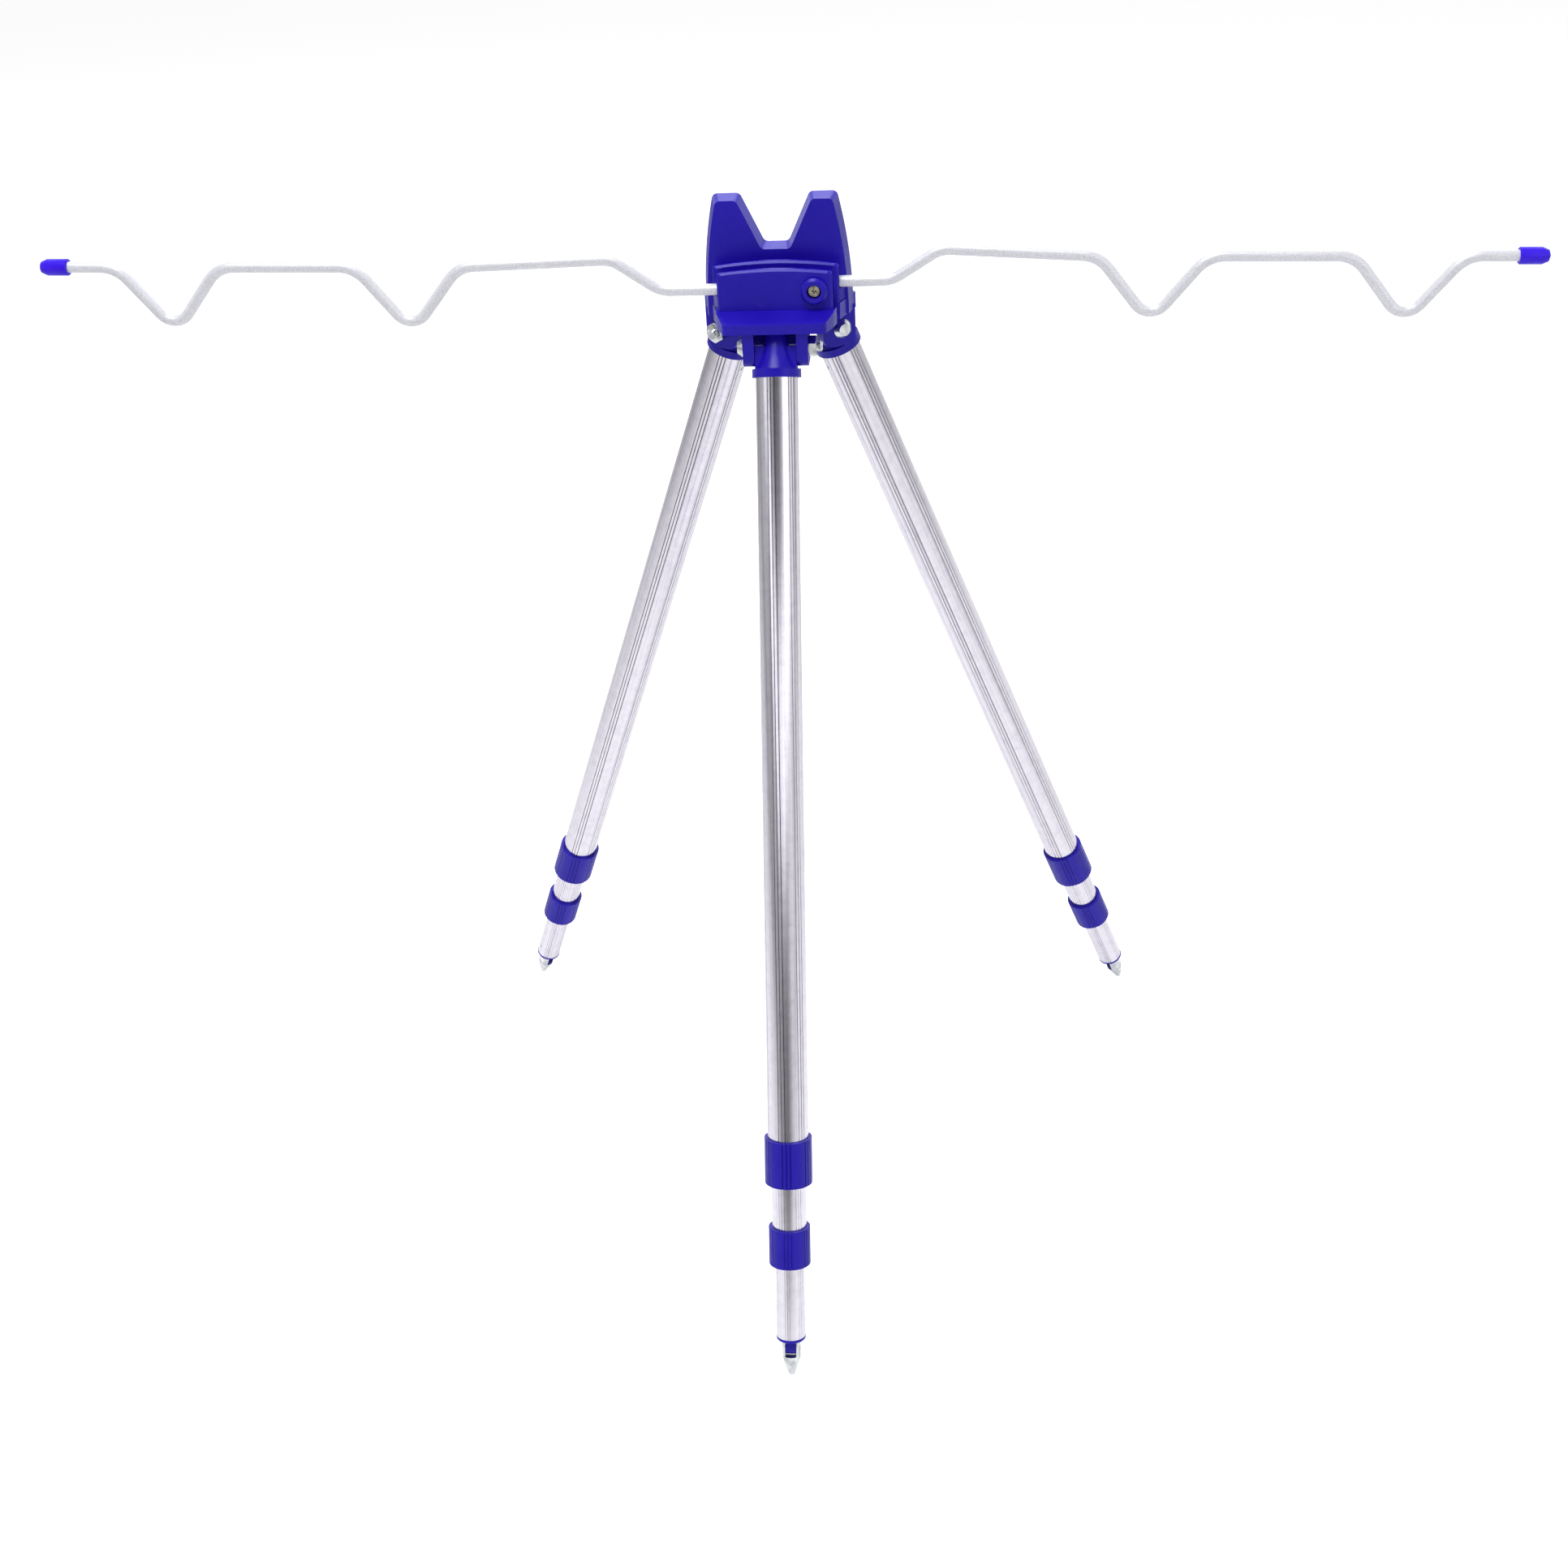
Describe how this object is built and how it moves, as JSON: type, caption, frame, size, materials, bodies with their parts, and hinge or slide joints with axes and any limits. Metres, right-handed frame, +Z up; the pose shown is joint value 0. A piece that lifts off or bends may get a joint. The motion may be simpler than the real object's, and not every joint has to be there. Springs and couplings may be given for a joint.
{
  "type": "surf rod tripod",
  "caption": "Folding tripod that holds surf rods: telescopic metal legs with twist collars and pinned spikes, a moulded head with a V notch, and bent rod arms that swing down.",
  "frame": {"origin": "The middle of the box around the part, at the height of the lowest spike tips.", "axes": "Z is up, X runs along the arms with the right arm towards +X, and the front leg points to -Y."},
  "size_m": [0.7818, 0.358, 0.5851],
  "materials": {
    "head_moulding": "glossy blue moulded plastic",
    "leg_mouldings": "glossy blue moulded plastic",
    "arm_caps": "glossy blue moulded plastic",
    "arm_rods": "pale silver paint",
    "arm_screws": "dark steel",
    "leg_bolts": "zinc plated steel",
    "tubes": "bright anodised, extruded",
    "collars": "glossy blue moulded plastic",
    "spikes": "zinc plated steel"
  },
  "bodies": {
    "head": {"head_body": "head_moulding", "arm_screw_left": "arm_screws", "arm_screw_right": "arm_screws", "pivot_bolt_front": "leg_bolts", "pivot_nut_front": "leg_bolts", "pivot_bolt_right": "leg_bolts", "pivot_nut_right": "leg_bolts", "pivot_bolt_left": "leg_bolts", "pivot_nut_left": "leg_bolts"},
    "arm_left": {"arm_left": "arm_rods", "arm_cap_left": "arm_caps"},
    "arm_right": {"arm_right": "arm_rods", "arm_cap_right": "arm_caps"},
    "leg_front": {"leg_cap_front": "leg_mouldings", "upper_tube_front": "tubes"},
    "upper_collar_front": {"upper_collar_front": "collars"},
    "mid_leg_front": {"mid_tube_front": "tubes"},
    "lower_collar_front": {"lower_collar_front": "collars"},
    "lower_leg_front": {"lower_tube_front": "tubes", "end_plug_front": "leg_mouldings"},
    "foot_front": {"spike_front": "spikes", "spike_pin_front": "spikes"},
    "leg_right": {"leg_cap_right": "leg_mouldings", "upper_tube_right": "tubes"},
    "upper_collar_right": {"upper_collar_right": "collars"},
    "mid_leg_right": {"mid_tube_right": "tubes"},
    "lower_collar_right": {"lower_collar_right": "collars"},
    "lower_leg_right": {"lower_tube_right": "tubes", "end_plug_right": "leg_mouldings"},
    "foot_right": {"spike_right": "spikes", "spike_pin_right": "spikes"},
    "leg_left": {"leg_cap_left": "leg_mouldings", "upper_tube_left": "tubes"},
    "upper_collar_left": {"upper_collar_left": "collars"},
    "mid_leg_left": {"mid_tube_left": "tubes"},
    "lower_collar_left": {"lower_collar_left": "collars"},
    "lower_leg_left": {"lower_tube_left": "tubes", "end_plug_left": "leg_mouldings"},
    "foot_left": {"spike_left": "spikes", "spike_pin_left": "spikes"}
  },
  "joints": [
    {"name": "arm_left_swing", "type": "hinge", "parent": "head", "child": "arm_left", "pos_m": [0.0202, 0.03975, 0.54036], "axis": [0, 1, 0], "range_deg": [0, 265]},
    {"name": "arm_right_swing", "type": "hinge", "parent": "head", "child": "arm_right", "pos_m": [-0.0208, 0.04935, 0.54036], "axis": [0, -1, 0], "range_deg": [0, 215]},
    {"name": "leg_front_fold", "type": "hinge", "parent": "head", "child": "leg_front", "pos_m": [-0.0003, 0.02925, 0.51216], "axis": [1, 0, 0], "range_deg": [0, 22]},
    {"name": "upper_collar_front_twist", "type": "hinge", "parent": "leg_front", "child": "upper_collar_front", "pos_m": [-0.0003, -0.1328, 0.11106], "axis": [0, -0.3746, -0.9272], "range_deg": [0, 90]},
    {"name": "mid_leg_front_slide", "type": "slide", "parent": "leg_front", "child": "mid_leg_front", "axis": [0, -0.3746, -0.9272], "range_m": [0, 0.32]},
    {"name": "lower_collar_front_twist", "type": "hinge", "parent": "mid_leg_front", "child": "lower_collar_front", "pos_m": [-0.0003, -0.15041, 0.06749], "axis": [0, -0.3746, -0.9272], "range_deg": [0, 90]},
    {"name": "lower_leg_front_slide", "type": "slide", "parent": "mid_leg_front", "child": "lower_leg_front", "axis": [0, -0.3746, -0.9272], "range_m": [0, 0.33]},
    {"name": "foot_front_tilt", "type": "hinge", "parent": "lower_leg_front", "child": "foot_front", "pos_m": [-0.0003, -0.17206, 0.01389], "axis": [1, 0, 0], "range_deg": [0, 60]},
    {"name": "leg_right_fold", "type": "hinge", "parent": "head", "child": "leg_right", "pos_m": [0.02421, 0.0717, 0.51216], "axis": [-0.5, 0.866, 0], "range_deg": [0, 22]},
    {"name": "upper_collar_right_twist", "type": "hinge", "parent": "leg_right", "child": "upper_collar_right", "pos_m": [0.16456, 0.15273, 0.11106], "axis": [0.3244, 0.1873, -0.9272], "range_deg": [0, 90]},
    {"name": "mid_leg_right_slide", "type": "slide", "parent": "leg_right", "child": "mid_leg_right", "axis": [0.3244, 0.1873, -0.9272], "range_m": [0, 0.32]},
    {"name": "lower_collar_right_twist", "type": "hinge", "parent": "mid_leg_right", "child": "lower_collar_right", "pos_m": [0.1798, 0.16153, 0.06749], "axis": [0.3244, 0.1873, -0.9272], "range_deg": [0, 90]},
    {"name": "lower_leg_right_slide", "type": "slide", "parent": "mid_leg_right", "child": "lower_leg_right", "axis": [0.3244, 0.1873, -0.9272], "range_m": [0, 0.33]},
    {"name": "foot_right_tilt", "type": "hinge", "parent": "lower_leg_right", "child": "foot_right", "pos_m": [0.19855, 0.17236, 0.01389], "axis": [-0.5, 0.866, 0], "range_deg": [0, 60]},
    {"name": "leg_left_fold", "type": "hinge", "parent": "head", "child": "leg_left", "pos_m": [-0.02481, 0.0717, 0.51216], "axis": [-0.5, -0.866, 0], "range_deg": [0, 22]},
    {"name": "upper_collar_left_twist", "type": "hinge", "parent": "leg_left", "child": "upper_collar_left", "pos_m": [-0.16515, 0.15273, 0.11106], "axis": [-0.3244, 0.1873, -0.9272], "range_deg": [0, 90]},
    {"name": "mid_leg_left_slide", "type": "slide", "parent": "leg_left", "child": "mid_leg_left", "axis": [-0.3244, 0.1873, -0.9272], "range_m": [0, 0.32]},
    {"name": "lower_collar_left_twist", "type": "hinge", "parent": "mid_leg_left", "child": "lower_collar_left", "pos_m": [-0.1804, 0.16153, 0.06749], "axis": [-0.3244, 0.1873, -0.9272], "range_deg": [0, 90]},
    {"name": "lower_leg_left_slide", "type": "slide", "parent": "mid_leg_left", "child": "lower_leg_left", "axis": [-0.3244, 0.1873, -0.9272], "range_m": [0, 0.33]},
    {"name": "foot_left_tilt", "type": "hinge", "parent": "lower_leg_left", "child": "foot_left", "pos_m": [-0.19915, 0.17236, 0.01389], "axis": [-0.5, -0.866, 0], "range_deg": [0, 60]}
  ]
}
